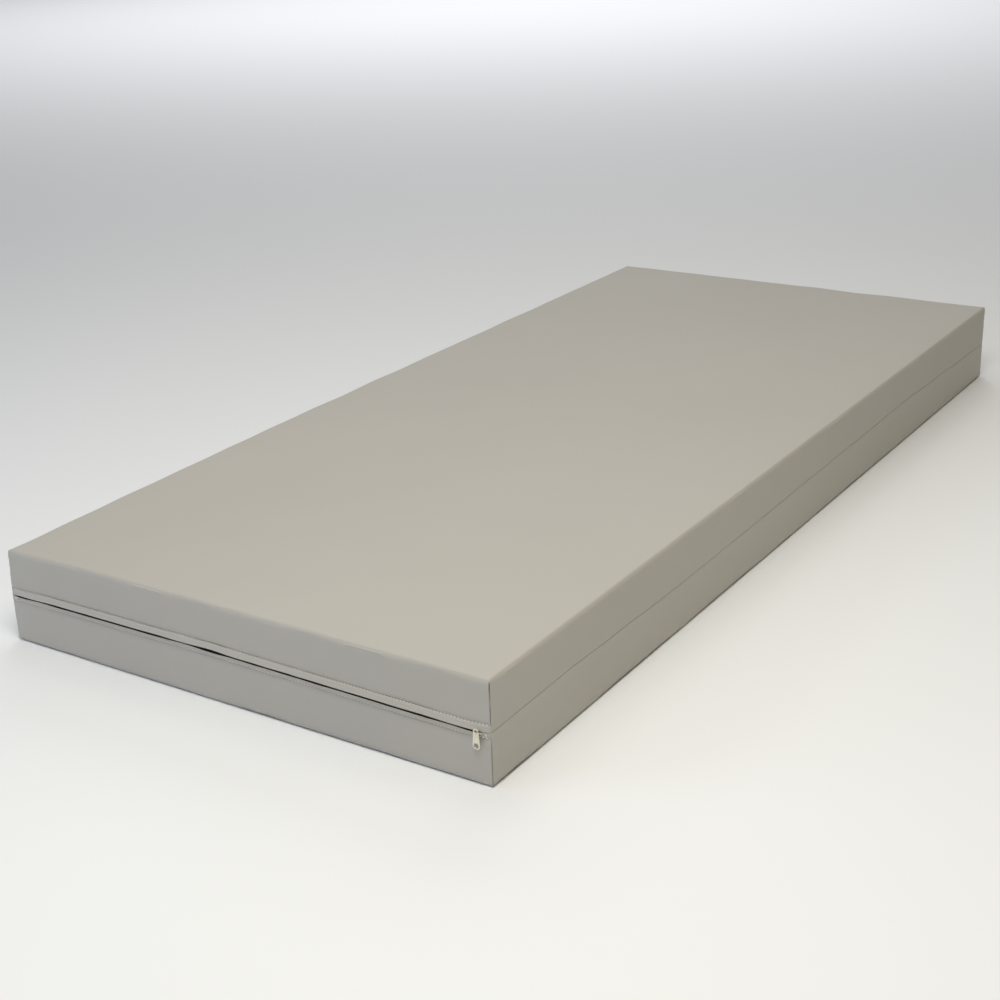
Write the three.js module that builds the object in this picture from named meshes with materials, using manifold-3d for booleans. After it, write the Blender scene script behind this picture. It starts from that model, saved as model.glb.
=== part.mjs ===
// Pressure relief mattress: a layered foam core inside a zipped, wipe-clean cover.
//
// Frame: millimetres. The origin is the middle of the underside, +Z is up, +Y runs from the foot end to
// the head end, and +X is to the right for someone who stands at the foot end and looks at the head end.
// The zip lies across the foot end wall, at Y = -LENGTH / 2, and closes towards +X.

import * as THREE from "three";
import { mergeVertices } from "three/addons/utils/BufferGeometryUtils.js";
import Module from "manifold-3d";

const wasm = await Module();
wasm.setup();

// ---------------------------------------------------------------------------------------------------
// Driving dimensions
// ---------------------------------------------------------------------------------------------------

const LENGTH = 2000; // outside of the cover, foot to head
const WIDTH = 900; // outside of the cover, left to right
const HEIGHT = 160; // outside of the cover, underside to lying surface
const GAP = 0.3; // between pieces that touch
const ROOM = 0.4; // running clearance around the zip slider, and between the core and the cover

// Cover
const WALL = 0.8; // coated fabric
const EDGE_RADIUS = 6; // where the walls turn into the lying surface and the underside
const CORNER_RADIUS = 6; // where two walls meet at a sewn corner
const SEAM_Z = 82; // height of the zip and of the seams that join the two halves of the cover
const THREAD = 1.2; // width of the sewn line that shows between two panels
const SEAM_END = 5; // a corner seam stops this far from the lying surface or the underside

// Hems on both sides of the zip
const UPPER_HEM = 10; // seam height to stitch line
const LOWER_HEM = 7.5; // seam height to stitch line
const HEM_KICK = 3; // how far the folds stand out from the wall
const STITCH = 0.6; // topstitch thread
const TACK_FROM_FOLD = 1; // end stitching lies across the lower hem, this far below its fold
const TACK_FROM_STITCH = 0.5; // and it ends this far above the stitch line
const TACK_WIDTH = 1.6;

// Zip
const COIL_HEIGHT = 2.4; // one half of the coil
const COIL_DEPTH = 2;
const TAPE = 0.5; // thickness of the woven tape
const TAPE_PAST_STITCH = 2.5;
const STOP_LENGTH = 2.5;
const STOP_FROM_CORNER = 2; // stops end this far before the rounded corner

// Slider: two plates with a web between the coil halves and an arch for the pull
const PLATE = 1.2;
const SLIDER_LENGTH = 12;
const SLIDER_HALF_HEIGHT = 4.4;
const FLANGE = 0.6;
const WEB_LENGTH = 7;
const WEB = 1.2; // thickness of the web and of the arch that runs out through the mouth
const ARCH_LENGTH = 10.5;
const ARCH_BAR = 1.4;

// Pull: an eye on the arch's left leg, a recessed body and a ring to hold
const PULL = 1.4; // thickness
const EYE_RADIUS = 4.2;
const EYE_PLAY = 0.65; // the eye is this much wider all round than the leg it hangs on
const RING_RADIUS = 5.8;
const RING_HOLE = 3.3;
const PULL_LENGTH = 31; // top of the eye to the end of the ring
const RECESS_DEPTH = 0.4;
const RECESS_HALF_WIDTH = 2;

// Foam core
const BASE_FOAM = 80; // thickness of the high-resilience base
const SIDE_FOAM = 80; // width of the firm side walls
const GROOVE = 6; // width of the cuts between the castellations
const GROOVE_DEPTH = 45;
const BLOCKS_ACROSS = 7;
const BLOCKS_ALONG = 17;

const ARC_STEPS = 5; // facets in a quarter turn of a large rounding
const FINE_STEPS = 16; // facets in a small full circle

// ---------------------------------------------------------------------------------------------------
// Places that follow from the dimensions
// ---------------------------------------------------------------------------------------------------

const FOOT = -LENGTH / 2; // outer face of the foot end wall
const HEAD = LENGTH / 2;
const MOUTH_HALF = WIDTH / 2 - CORNER_RADIUS; // half the length of the zip opening
const MOUTH = WEB + 2 * ROOM; // the slot between the two folds, which the arch runs along
const PANEL_GAP = THREAD + 2 * GAP; // between the two halves of the cover

// Inner face of the lower hem, the steeper one, at a height above or below the seam
const hemInnerFace = (rise) => {
  const slope = (HEM_KICK - WALL) / (LOWER_HEM - MOUTH / 2);
  return FOOT - HEM_KICK + 2 * WALL + slope * (rise - MOUTH / 2);
};

// Layers of the zip, from behind the hems inwards
const FRONT_PLATE = hemInnerFace(SLIDER_HALF_HEIGHT) + ROOM;
const COIL_Y = FRONT_PLATE + PLATE + ROOM;
const TAPE_Y = COIL_Y + COIL_DEPTH + GAP;
const BACK_PLATE = TAPE_Y + TAPE + ROOM;
const CORE_FOOT = BACK_PLATE + PLATE + ROOM;

const COIL_GAP = WEB / 2 + GAP; // from the seam height to the near side of a coil half
const ARCH_Y = FOOT - HEM_KICK - ROOM - PULL - ROOM; // inner side of the arch's outer bar
const STOP_OUTER = MOUTH_HALF - STOP_FROM_CORNER;
const STOP_INNER = STOP_OUTER - STOP_LENGTH;
const SLIDER_X = STOP_INNER - GAP - SLIDER_LENGTH / 2;
const LEG_X = SLIDER_X - ARCH_LENGTH / 2 + ARCH_BAR / 2; // the arch leg that carries the pull
const PULL_Y = FOOT - HEM_KICK - ROOM - PULL; // outer face of the pull
const EYE_HOLE = Math.hypot(ARCH_BAR, WEB) / 2 + EYE_PLAY;
const RING_DROP = PULL_LENGTH - EYE_RADIUS - RING_RADIUS; // eye centre to ring centre

// ---------------------------------------------------------------------------------------------------
// Materials
// ---------------------------------------------------------------------------------------------------

const finish = (color, roughness, metalness = 0) =>
  new THREE.MeshStandardMaterial({ color, roughness, metalness });

const coatedFabric = finish(0xb4b0a4, 0.62);
const sewingThread = finish(0xd9d4c2, 0.8);
const seamThread = finish(0x6f6a5f, 0.85);
const tapeWeave = finish(0x45433e, 0.9);
const coilPlastic = finish(0x3b3935, 0.4);
const zipMetal = finish(0xcdc6a4, 0.35, 0.8);
const baseFoam = finish(0xdfe3e0, 0.95);
const sideFoam = finish(0xc9d2d6, 0.95);
const viscoFoam = finish(0xe9dfb8, 0.95);

// ---------------------------------------------------------------------------------------------------
// Helpers
// ---------------------------------------------------------------------------------------------------

// A closed geometry as a manifold-3d solid.
function solid(geometry) {
  geometry.deleteAttribute("normal");
  geometry.deleteAttribute("uv");
  const merged = mergeVertices(geometry, 1e-4);
  const triVerts = new Uint32Array(merged.index.array);
  const vertProperties = merged.attributes.position.array;
  return new wasm.Manifold(new wasm.Mesh({ numProp: 3, vertProperties, triVerts }));
}

// A manifold-3d solid as a named mesh.
function piece(name, made, material) {
  const { vertProperties, triVerts } = made.getMesh();
  const geometry = new THREE.BufferGeometry();
  geometry.setAttribute("position", new THREE.BufferAttribute(vertProperties, 3));
  geometry.setIndex(new THREE.BufferAttribute(triVerts, 1));
  geometry.computeVertexNormals();
  const mesh = new THREE.Mesh(geometry, material);
  mesh.name = name;
  return mesh;
}

function extrude(outline, depth, curveSegments) {
  return new THREE.ExtrudeGeometry(outline, { depth, curveSegments, bevelEnabled: false });
}

// An outline in (x, y) carried from height z0 to z1.
function alongZ(outline, z0, z1, steps = ARC_STEPS) {
  return solid(extrude(outline, z1 - z0, steps).translate(0, 0, z0));
}

// An outline in (x, z) carried from y0 to y1.
function alongY(outline, y0, y1, steps = ARC_STEPS) {
  return solid(extrude(outline, y1 - y0, steps).rotateX(Math.PI / 2).translate(0, y1, 0));
}

// An outline in (y, z) carried from x0 to x1.
function alongX(outline, x0, x1, steps = ARC_STEPS) {
  const turned = extrude(outline, x1 - x0, steps).rotateX(Math.PI / 2).rotateZ(Math.PI / 2);
  return solid(turned.translate(x0, 0, 0));
}

function box(x0, x1, y0, y1, z0, z1) {
  const geometry = new THREE.BoxGeometry(x1 - x0, y1 - y0, z1 - z0);
  return solid(geometry.translate((x0 + x1) / 2, (y0 + y1) / 2, (z0 + z1) / 2));
}

function polygon(points) {
  return new THREE.Shape(points.map(([a, b]) => new THREE.Vector2(a, b)));
}

// A rectangle between (a0, b0) and (a1, b1) with its four corners rounded.
function rounded(a0, a1, b0, b1, radius) {
  const quarter = Math.PI / 2;
  const outline = new THREE.Shape();
  outline.absarc(a1 - radius, b0 + radius, radius, -quarter, 0);
  outline.absarc(a1 - radius, b1 - radius, radius, 0, quarter);
  outline.absarc(a0 + radius, b1 - radius, radius, quarter, 2 * quarter);
  outline.absarc(a0 + radius, b0 + radius, radius, 2 * quarter, 3 * quarter);
  outline.closePath();
  return outline;
}

// A block with softly rounded edges above and below and tighter upright corners. Each prism limits two
// directions and runs past the block in the third.
function softBlock(x0, x1, y0, y1, z0, z1, edge, corner) {
  const plan = alongZ(rounded(x0, x1, y0, y1, corner), z0 - 1, z1 + 1);
  const endView = alongY(rounded(x0, x1, z0, z1, edge), y0 - 1, y1 + 1);
  const sideView = alongX(rounded(y0, y1, z0, z1, edge), x0 - 1, x1 + 1);
  return plan.intersect(endView).intersect(sideView);
}

// The cover's fabric before it is cut: a closed skin of one wall thickness.
function coverSkin() {
  const half = WIDTH / 2;
  const outside = softBlock(-half, half, FOOT, HEAD, 0, HEIGHT, EDGE_RADIUS, CORNER_RADIUS);
  const inside = softBlock(
    -half + WALL,
    half - WALL,
    FOOT + WALL,
    HEAD - WALL,
    WALL,
    HEIGHT - WALL,
    EDGE_RADIUS - WALL,
    CORNER_RADIUS - WALL,
  );
  return outside.subtract(inside);
}

// A slab that stands on the diagonal of one corner, between two heights.
function cornerSlab(sideX, sideY, width, z0, z1) {
  const reach = 2 * EDGE_RADIUS + CORNER_RADIUS;
  const slab = new THREE.BoxGeometry(2 * reach, width, z1 - z0);
  slab.rotateZ((sideX * sideY * Math.PI) / 4);
  return solid(slab.translate((sideX * WIDTH) / 2, (sideY * LENGTH) / 2, (z0 + z1) / 2));
}

// ---------------------------------------------------------------------------------------------------
// Cover
// ---------------------------------------------------------------------------------------------------

const CORNERS = [
  ["foot_left", -1, -1],
  ["foot_right", 1, -1],
  ["head_left", -1, 1],
  ["head_right", 1, 1],
];
const UPPER_SEAM = [SEAM_Z + PANEL_GAP / 2, HEIGHT - SEAM_END];
const LOWER_SEAM = [SEAM_END, SEAM_Z - PANEL_GAP / 2];

// A folded hem: it leans out from the stitch line to the fold. The sign is +1 above the zip, -1 below.
function hem(sign, height) {
  const stitch = SEAM_Z + sign * height;
  const fold = SEAM_Z + (sign * MOUTH) / 2;
  const lap = stitch + sign; // the hem runs 1 mm into the wall that it is cut from
  const outline = polygon([
    [FOOT, lap],
    [FOOT, stitch],
    [FOOT - HEM_KICK, fold],
    [FOOT - HEM_KICK + 2 * WALL, fold],
    [FOOT + WALL, stitch],
    [FOOT + WALL, lap],
  ]);
  return alongX(outline, -MOUTH_HALF, MOUTH_HALF);
}

// Half of the cover: the skin above or below the seams, slit at its corners, with a hem at the zip.
function coverHalf(sign, hemHeight, [seamLow, seamHigh]) {
  const far = sign > 0 ? HEIGHT + 1 : -1;
  const edge = SEAM_Z + (sign * PANEL_GAP) / 2;
  const span = [Math.min(edge, far), Math.max(edge, far)];
  let half = coverSkin().intersect(box(-WIDTH, WIDTH, -LENGTH, LENGTH, ...span));
  const stitch = SEAM_Z + sign * hemHeight;
  const opening = [Math.min(SEAM_Z, stitch), Math.max(SEAM_Z, stitch)];
  half = half.subtract(box(-MOUTH_HALF, MOUTH_HALF, FOOT - 1, FOOT + 2 * WALL, ...opening));
  for (const [, sideX, sideY] of CORNERS)
    half = half.subtract(cornerSlab(sideX, sideY, PANEL_GAP, seamLow - GAP, seamHigh + GAP));
  return half.add(hem(sign, hemHeight));
}

// The line of thread that closes one corner of one half.
function cornerSeam(sideX, sideY, [seamLow, seamHigh]) {
  const line = coverSkin().intersect(cornerSlab(sideX, sideY, THREAD, seamLow, seamHigh));
  const centre = [(sideX * WIDTH) / 2, (sideY * LENGTH) / 2];
  const reach = 2 * EDGE_RADIUS;
  const near = box(
    centre[0] - reach,
    centre[0] + reach,
    centre[1] - reach,
    centre[1] + reach,
    0,
    HEIGHT,
  );
  return line.intersect(near);
}

// The line of thread between the two halves of the cover, along one wall.
function wallSeam(x0, x1, y0, y1) {
  const band = box(x0, x1, y0, y1, SEAM_Z - THREAD / 2, SEAM_Z + THREAD / 2);
  return coverSkin().intersect(band);
}

function cover() {
  const group = new THREE.Group();
  group.add(piece("cover_top", coverHalf(1, UPPER_HEM, UPPER_SEAM), coatedFabric));
  group.add(piece("cover_base", coverHalf(-1, LOWER_HEM, LOWER_SEAM), coatedFabric));
  for (const [where, sideX, sideY] of CORNERS) {
    const upper = cornerSeam(sideX, sideY, UPPER_SEAM);
    const lower = cornerSeam(sideX, sideY, LOWER_SEAM);
    group.add(piece("corner_seam_upper_" + where, upper, seamThread));
    group.add(piece("corner_seam_lower_" + where, lower, seamThread));
  }
  const seamHalf = LENGTH / 2 - CORNER_RADIUS;
  const outer = WIDTH / 2 + 1;
  const inner = WIDTH / 2 - 2 * WALL;
  group.add(piece("side_seam_left", wallSeam(-outer, -inner, -seamHalf, seamHalf), seamThread));
  group.add(piece("side_seam_right", wallSeam(inner, outer, -seamHalf, seamHalf), seamThread));
  const headSeam = wallSeam(-MOUTH_HALF, MOUTH_HALF, HEAD - 2 * WALL, HEAD + 1);
  group.add(piece("head_seam", headSeam, seamThread));
  return group;
}

// ---------------------------------------------------------------------------------------------------
// Zip: stitching, tapes, coil halves and stops
// ---------------------------------------------------------------------------------------------------

// The straight run of thread that holds a hem and its tape to the wall.
function topstitch(sign, hemHeight) {
  const near = SEAM_Z + sign * (hemHeight + GAP);
  const far = near + sign * STITCH;
  const z = [Math.min(near, far), Math.max(near, far)];
  return box(-MOUTH_HALF, MOUTH_HALF, FOOT - GAP - STITCH, FOOT - GAP, ...z);
}

// End stitching that lies across the lower hem, over one of the stops.
function tack(side) {
  const slope = HEM_KICK / (LOWER_HEM - MOUTH / 2);
  const top = SEAM_Z - MOUTH / 2 - TACK_FROM_FOLD;
  const bottom = SEAM_Z - LOWER_HEM + TACK_FROM_STITCH;
  const faceAt = (z) => FOOT - HEM_KICK + slope * (SEAM_Z - MOUTH / 2 - z) - GAP;
  const outline = polygon([
    [faceAt(top), top],
    [faceAt(top) - STITCH, top],
    [faceAt(bottom) - STITCH, bottom],
    [faceAt(bottom), bottom],
  ]);
  const centre = (side * (STOP_INNER + STOP_OUTER)) / 2;
  return alongX(outline, centre - TACK_WIDTH / 2, centre + TACK_WIDTH / 2);
}

// A woven tape: flat behind the coil, then leaning out to the wall, where the topstitch holds it.
function tape(sign, hemHeight) {
  const flatEnd = SEAM_Z + sign * (SLIDER_HALF_HEIGHT + ROOM);
  const stitch = SEAM_Z + sign * (hemHeight - TAPE);
  const end = SEAM_Z + sign * (hemHeight + TAPE_PAST_STITCH);
  const start = SEAM_Z + sign * COIL_GAP;
  const wall = FOOT + WALL + GAP;
  const outline = polygon([
    [TAPE_Y, start],
    [TAPE_Y, flatEnd],
    [wall, stitch],
    [wall, end],
    [wall + TAPE, end],
    [wall + TAPE, stitch],
    [TAPE_Y + TAPE, flatEnd],
    [TAPE_Y + TAPE, start],
  ]);
  return alongX(outline, -STOP_OUTER, STOP_OUTER);
}

// One half of the coil: an oval strand along the edge of its tape.
function coil(sign) {
  const outline = new THREE.Shape();
  const z = SEAM_Z + sign * (COIL_GAP + COIL_HEIGHT / 2);
  outline.absellipse(COIL_Y + COIL_DEPTH / 2, z, COIL_DEPTH / 2, COIL_HEIGHT / 2, 0, 2 * Math.PI);
  return alongX(outline, -STOP_INNER + GAP, STOP_INNER - GAP, FINE_STEPS);
}

// A stop block at one end of the coil, as tall as the slider so that the slider can't pass it.
function stop(side) {
  const half = SLIDER_HALF_HEIGHT;
  const outline = rounded(COIL_Y, COIL_Y + COIL_DEPTH, SEAM_Z - half, SEAM_Z + half, COIL_DEPTH / 3);
  const ends = [side * STOP_INNER, side * STOP_OUTER].sort((a, b) => a - b);
  return alongX(outline, ...ends);
}

// The slider at the closed end of the zip.
function slider() {
  const x0 = SLIDER_X - SLIDER_LENGTH / 2;
  const x1 = SLIDER_X + SLIDER_LENGTH / 2;
  const z0 = SEAM_Z - SLIDER_HALF_HEIGHT;
  const z1 = SEAM_Z + SLIDER_HALF_HEIGHT;
  const plate = rounded(x0, x1, z0, z1, SLIDER_HALF_HEIGHT / 2);
  const front = alongY(plate, FRONT_PLATE, FRONT_PLATE + PLATE);
  const back = alongY(plate, BACK_PLATE, BACK_PLATE + PLATE);
  const web = box(
    SLIDER_X - WEB_LENGTH / 2,
    SLIDER_X + WEB_LENGTH / 2,
    FRONT_PLATE + PLATE / 2,
    BACK_PLATE + PLATE / 2,
    SEAM_Z - WEB / 2,
    SEAM_Z + WEB / 2,
  );
  const flangeEnds = [x0 + SLIDER_HALF_HEIGHT / 2, x1 - SLIDER_HALF_HEIGHT / 2];
  const flangeDepth = [FRONT_PLATE + PLATE / 2, TAPE_Y - ROOM];
  const upperFlange = box(...flangeEnds, ...flangeDepth, z1 - FLANGE, z1);
  const lowerFlange = box(...flangeEnds, ...flangeDepth, z0, z0 + FLANGE);
  return front.add(back).add(web).add(upperFlange).add(lowerFlange).add(arch());
}

// The arch stands on the front plate and runs out through the mouth; the pull hangs on its left leg.
function arch() {
  const left = SLIDER_X - ARCH_LENGTH / 2;
  const right = SLIDER_X + ARCH_LENGTH / 2;
  const foot = FRONT_PLATE + PLATE / 2;
  const outer = ARCH_Y - ARCH_BAR;
  const plan = polygon([
    [left, foot],
    [left, outer + ARCH_BAR],
    [left + ARCH_BAR, outer],
    [right - ARCH_BAR, outer],
    [right, outer + ARCH_BAR],
    [right, foot],
    [right - ARCH_BAR, foot],
    [right - ARCH_BAR, ARCH_Y],
    [left + ARCH_BAR, ARCH_Y],
    [left + ARCH_BAR, foot],
  ]);
  return alongZ(plan, SEAM_Z - WEB / 2, SEAM_Z + WEB / 2);
}

// The pull: the outline is two circles and the straight sides that touch both of them.
function pull() {
  const tilt = Math.asin((RING_RADIUS - EYE_RADIUS) / RING_DROP);
  const ringZ = SEAM_Z - RING_DROP;
  const outline = new THREE.Shape();
  outline.absarc(LEG_X, SEAM_Z, EYE_RADIUS, -tilt, Math.PI + tilt);
  outline.absarc(LEG_X, ringZ, RING_RADIUS, Math.PI + tilt, 2 * Math.PI - tilt);
  outline.closePath();
  const eye = new THREE.Path().absarc(LEG_X, SEAM_Z, EYE_HOLE, 0, 2 * Math.PI);
  const ring = new THREE.Path().absarc(LEG_X, ringZ, RING_HOLE, 0, 2 * Math.PI);
  outline.holes.push(eye, ring);
  const body = alongY(outline, PULL_Y, PULL_Y + PULL, FINE_STEPS);
  const recessTop = SEAM_Z - EYE_RADIUS;
  const recessBottom = ringZ + RING_RADIUS;
  const width = RECESS_HALF_WIDTH;
  const recess = rounded(LEG_X - width, LEG_X + width, recessBottom, recessTop, width / 2);
  return body.subtract(alongY(recess, PULL_Y - 1, PULL_Y + RECESS_DEPTH));
}

function zip() {
  const group = new THREE.Group();
  for (const [level, sign, height] of [
    ["upper", 1, UPPER_HEM],
    ["lower", -1, LOWER_HEM],
  ]) {
    group.add(piece("topstitch_" + level, topstitch(sign, height), sewingThread));
    group.add(piece("zip_tape_" + level, tape(sign, height), tapeWeave));
    group.add(piece("zip_coil_" + level, coil(sign), coilPlastic));
  }
  for (const [where, side] of [
    ["left", -1],
    ["right", 1],
  ]) {
    group.add(piece("zip_stop_" + where, stop(side), zipMetal));
    group.add(piece("end_tack_" + where, tack(side), sewingThread));
  }
  group.add(piece("zip_slider", slider(), zipMetal));
  group.add(piece("zip_pull", pull(), zipMetal));
  return group;
}

// ---------------------------------------------------------------------------------------------------
// Foam core
// ---------------------------------------------------------------------------------------------------

// The castellated top layer: a common sheet that carries a grid of separate blocks. Each block is cut
// from a strip with the side view of the core, so the end rows keep its rounded edges.
function castellated(sideView, x0, x1, y0, y1, z0, z1) {
  const floor = z1 - GROOVE_DEPTH;
  const pitchX = (x1 - x0 + GROOVE) / BLOCKS_ACROSS;
  const pitchY = (y1 - y0 + GROOVE) / BLOCKS_ALONG;
  let layer = box(x0, x1, y0, y1, z0, floor);
  for (let column = 0; column < BLOCKS_ACROSS; column++) {
    const left = x0 + column * pitchX;
    const strip = alongX(sideView, left, left + pitchX - GROOVE);
    for (let row = 0; row < BLOCKS_ALONG; row++) {
      const near = y0 + row * pitchY;
      const block = box(left - 1, left + pitchX, near, near + pitchY - GROOVE, z0, z1 + 1);
      layer = layer.add(strip.intersect(block));
    }
  }
  return layer;
}

function core() {
  const group = new THREE.Group();
  const inset = WALL + ROOM;
  const side = WIDTH / 2 - inset;
  const head = HEAD - inset;
  const top = HEIGHT - inset;
  const edge = EDGE_RADIUS - inset;
  const corner = CORNER_RADIUS - inset;
  const whole = softBlock(-side, side, CORE_FOOT, head, inset, top, edge, corner);
  const joint = inset + BASE_FOAM;
  const inner = side - SIDE_FOAM;
  const above = [joint + GAP, HEIGHT];
  const along = [-LENGTH, LENGTH];

  const base = whole.intersect(box(-WIDTH, WIDTH, ...along, 0, joint));
  const left = whole.intersect(box(-WIDTH, -inner, ...along, ...above));
  const right = whole.intersect(box(inner, WIDTH, ...along, ...above));
  const sideView = rounded(CORE_FOOT, head, inset, top, edge);
  const relief = castellated(sideView, -inner + GAP, inner - GAP, CORE_FOOT, head, joint + GAP, top);

  group.add(piece("foam_base", base, baseFoam));
  group.add(piece("foam_side_left", left, sideFoam));
  group.add(piece("foam_side_right", right, sideFoam));
  group.add(piece("foam_relief_layer", relief, viscoFoam));
  return group;
}

const mattress = new THREE.Group();
mattress.add(cover(), zip(), core());

export default mattress;
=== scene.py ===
# %% [markdown]
# # A pressure relief mattress, made in Blender
#
# The object is a foam mattress for a ward bed. A wipe-clean grey cover in two halves holds a core of
# foam layers, and a zip across the foot end joins the halves there. This lesson builds the looks round
# a finished mechanical model, so it first loads that model as a frame. Every place below is measured
# from the frame's own boxes, which keeps the soft pieces and the moving ones in step.

# %% Load the frame
import math

import bmesh
import bpy
from mathutils import Matrix, Vector, noise


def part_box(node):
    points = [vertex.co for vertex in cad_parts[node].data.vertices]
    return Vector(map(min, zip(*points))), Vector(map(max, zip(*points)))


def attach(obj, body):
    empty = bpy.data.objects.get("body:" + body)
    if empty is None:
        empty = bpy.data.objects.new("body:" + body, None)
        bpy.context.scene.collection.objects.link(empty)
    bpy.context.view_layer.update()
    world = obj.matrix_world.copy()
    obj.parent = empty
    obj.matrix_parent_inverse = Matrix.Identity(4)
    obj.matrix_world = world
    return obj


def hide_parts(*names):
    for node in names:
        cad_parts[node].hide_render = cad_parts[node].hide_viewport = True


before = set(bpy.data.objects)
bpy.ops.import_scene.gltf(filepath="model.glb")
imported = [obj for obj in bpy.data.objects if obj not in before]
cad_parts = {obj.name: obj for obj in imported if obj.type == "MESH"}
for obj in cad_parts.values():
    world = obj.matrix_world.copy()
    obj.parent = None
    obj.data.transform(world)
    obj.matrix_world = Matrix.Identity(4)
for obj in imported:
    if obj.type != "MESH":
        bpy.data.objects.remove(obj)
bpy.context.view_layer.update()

scene = bpy.context.scene
MM = 0.001
ALL_SMOOTH = math.radians(180)  # no edge turns this sharply, so none is marked sharp
NEARLY_ALL = 0.999  # an edge runs along an axis when this share of its length does
CLOSE_MERGE = 1e-7  # points nearer to a cut than this lie on it

# %% [markdown]
# ## Measures taken from the frame
#
# A cover that is made to fit needs the sizes of what it fits. The two halves meet at one height all
# round, so that height comes from the gap between their boxes. The foot end's hems stand out from the
# wall, so the wall itself is found from the head end, which has none.

# %% Sizes of the mattress
top_low, top_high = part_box("cover_top")
base_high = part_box("cover_base")[1]
HALF_WIDTH = top_high.x
HALF_LENGTH = top_high.y
HEIGHT = top_high.z
SEAM_HEIGHT = (top_low.z + base_high.z) / 2
HEM_KICK = -HALF_LENGTH - top_low.y
FABRIC = 0.7 * MM
EDGE_ROUND = 5 * MM
print("half width", round(HALF_WIDTH, 4), "half length", round(HALF_LENGTH, 4))
print("height", round(HEIGHT, 4), "seam at", round(SEAM_HEIGHT, 4), "hem kick", round(HEM_KICK, 4))

# %% [markdown]
# ## The camera
#
# The view is from the foot end's right, a little above the lying surface, so both the zip and one long
# side are seen. The camera comes before the pieces, so each can be looked at as soon as it is made. The
# slight roll is what a hand-held camera gives.

# %% Camera
CAMERA_PLACE = Vector((1.510, -2.555, 1.156))
CAMERA_HEADING = math.radians(33.61)
CAMERA_DIP = math.radians(21.71)
CAMERA_ROLL = math.radians(-2.07)
CAMERA_LENS = 59.87


def look_rotation(heading, dip, roll):
    """The turn that points a camera along a heading, dipped below the horizon."""
    level = math.cos(dip)
    ahead = Vector((-math.sin(heading) * level, math.cos(heading) * level, -math.sin(dip)))
    return ahead.to_track_quat("-Z", "Y") @ Matrix.Rotation(roll, 3, "Z").to_quaternion()


camera_data = bpy.data.cameras.new("camera")
camera_data.lens = CAMERA_LENS
camera_data.sensor_width = 36
camera_data.clip_end = 100
camera = bpy.data.objects.new("camera", camera_data)
camera.location = CAMERA_PLACE
camera.rotation_mode = "QUATERNION"
camera.rotation_quaternion = look_rotation(CAMERA_HEADING, CAMERA_DIP, CAMERA_ROLL)
scene.collection.objects.link(camera)
scene.camera = camera
print("camera at", tuple(round(c, 3) for c in camera.location))

# %% [markdown]
# ## Small helpers
#
# Each piece is shaped in a bmesh, which is Blender's editable mesh in memory. When it is done, the same
# few steps turn it into an object, give it a material, hang it on an empty for the body that carries it,
# and hide the plain solids of the frame that it stands for.


# %% Helpers for pieces
def make_piece(bm, name, material, body, nodes=(), sharp=math.radians(40)):
    """Turns a bmesh into a finished piece that rides on a body."""
    mesh = bpy.data.meshes.new(name)
    bm.to_mesh(mesh)
    bm.free()
    mesh.polygons.foreach_set("use_smooth", [True] * len(mesh.polygons))
    mesh.set_sharp_from_angle(angle=sharp)
    mesh.materials.append(material)
    piece = bpy.data.objects.new(name, mesh)
    scene.collection.objects.link(piece)
    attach(piece, body)
    if nodes:
        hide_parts(*nodes)
    print(name, "faces", len(mesh.polygons))
    return piece


def smooth_step(value):
    """0 below 0, 1 above 1, and a soft S between them."""
    value = min(1.0, max(0.0, value))
    return value * value * (3 - 2 * value)


def hump(distance, spread):
    """1 at no distance, falling softly to nothing over about two spreads."""
    return math.exp(-((distance / spread) ** 2))


# %% [markdown]
# ## Shader groups
#
# The cover, the tapes, the thread and the foam all vary a little in tone, and all have a fine surface
# grain. A group holds each effect once, with named inputs, so every material sets its own scale and
# strength. A group gives only colours, masks and heights. The Principled shader stays in the material.


# %% Group helpers
def new_group(name, inputs, outputs):
    """An empty shader group with named sockets, and its input and output nodes."""
    tree = bpy.data.node_groups.new(name, "ShaderNodeTree")
    for label, kind, value in inputs:
        socket = tree.interface.new_socket(name=label, in_out="INPUT", socket_type=kind)
        socket.default_value = value
    for label, kind in outputs:
        tree.interface.new_socket(name=label, in_out="OUTPUT", socket_type=kind)
    entry = tree.nodes.new("NodeGroupInput")
    leave = tree.nodes.new("NodeGroupOutput")
    return tree, entry, leave


def add_node(tree, kind, settings=None, **values):
    """A node with its properties set, and its inputs given by name with _ for a space."""
    node = tree.nodes.new(kind)
    for key, value in (settings or {}).items():
        setattr(node, key, value)
    for key, value in values.items():
        node.inputs[key.replace("_", " ")].default_value = value
    return node


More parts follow.
